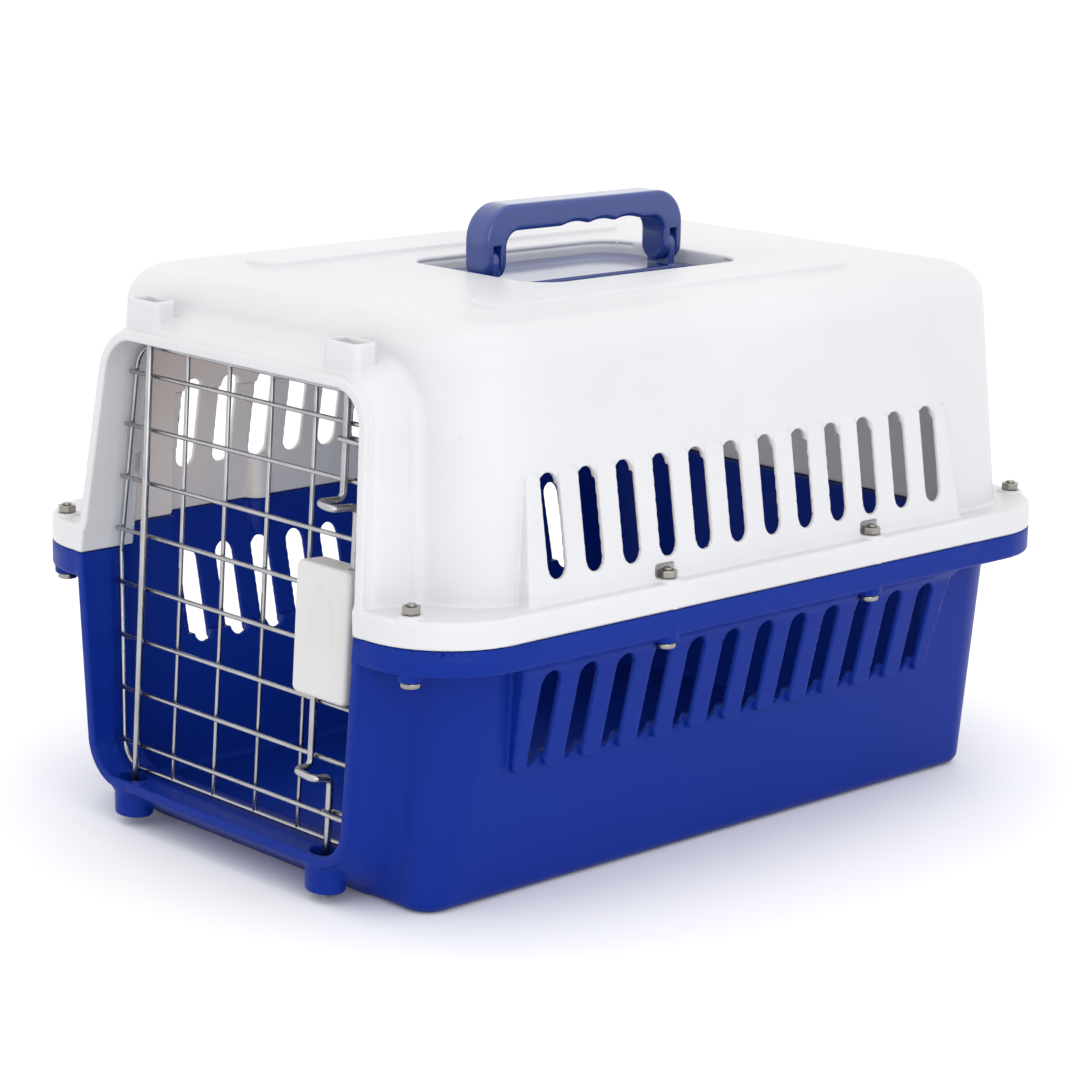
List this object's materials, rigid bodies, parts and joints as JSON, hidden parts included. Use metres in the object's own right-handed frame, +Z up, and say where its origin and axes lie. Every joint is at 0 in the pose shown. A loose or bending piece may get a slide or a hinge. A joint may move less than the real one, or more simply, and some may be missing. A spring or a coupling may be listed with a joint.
{
  "type": "pet transport carrier",
  "caption": "Two-part plastic pet carrier with slotted sides, a wire grid door held by a sprung two-rod latch, and a fold-down carrying handle on the roof.",
  "frame": {"origin": "on the floor, under the middle of the shell's flange", "axes": "+Z up, +Y towards the closed back wall, so the wire door faces -Y; +X is the side nearer the latch"},
  "size_m": [0.358, 0.49, 0.338],
  "materials": {
    "shell_white": "satin injection-moulded white",
    "tub_blue": "satin injection-moulded deep blue",
    "handle_blue": "glossy deep blue",
    "latch_plastic": "satin off-white",
    "steel_wire": "drawn and plated, satin",
    "zinc_steel": "zinc plated"
  },
  "bodies": {
    "shell": {"upper_shell": "shell_white", "lower_tub": "tub_blue", "screw_1": "zinc_steel", "screw_2": "zinc_steel", "screw_3": "zinc_steel", "screw_4": "zinc_steel", "screw_5": "zinc_steel", "screw_6": "zinc_steel", "screw_7": "zinc_steel", "screw_8": "zinc_steel", "nut_1": "zinc_steel", "nut_2": "zinc_steel", "nut_3": "zinc_steel", "nut_4": "zinc_steel", "nut_5": "zinc_steel", "nut_6": "zinc_steel", "nut_7": "zinc_steel", "nut_8": "zinc_steel", "handle_base": "handle_blue", "handle_pin_front": "zinc_steel", "handle_pin_rear": "zinc_steel"},
    "door": {"door_crossbar_1": "steel_wire", "door_crossbar_2": "steel_wire", "door_crossbar_3": "steel_wire", "door_crossbar_4": "steel_wire", "door_crossbar_5": "steel_wire", "door_crossbar_6": "steel_wire", "door_crossbar_7": "steel_wire", "door_crossbar_8": "steel_wire", "door_upright_1": "steel_wire", "door_upright_2": "steel_wire", "door_upright_3": "steel_wire", "door_upright_4": "steel_wire", "door_perimeter": "steel_wire", "hinge_rod": "steel_wire", "latch_guide_upper": "steel_wire", "latch_guide_lower": "steel_wire", "latch_housing": "latch_plastic", "latch_cover": "latch_plastic", "latch_spring_upper": "steel_wire", "latch_spring_lower": "steel_wire"},
    "upper_latch": {"latch_rod_upper": "steel_wire"},
    "lower_latch": {"latch_rod_lower": "steel_wire"},
    "handle": {"carry_handle": "handle_blue"}
  },
  "joints": [
    {"name": "door_swing", "type": "hinge", "parent": "shell", "child": "door", "pos_m": [-0.083, -0.22745, 0.148], "axis": [0, -0.0526, -0.9986], "range_deg": [0, 110]},
    {"name": "upper_rod_slide", "type": "slide", "parent": "door", "child": "upper_latch", "axis": [0, -0.0526, -0.9986], "range_m": [0, 0.0105], "stiffness_N_per_m": 200, "springref_m": -0.01, "deforming": ["latch_spring_upper"]},
    {"name": "lower_rod_slide", "type": "slide", "parent": "door", "child": "lower_latch", "axis": [0, 0.0526, 0.9986], "range_m": [0, 0.0265], "stiffness_N_per_m": 100, "springref_m": -0.01, "deforming": ["latch_spring_lower"]},
    {"name": "handle_fold", "type": "hinge", "parent": "shell", "child": "handle", "pos_m": [0, 0.015, 0.3058], "axis": [0, 1, 0], "range_deg": [-90, 90]}
  ]
}
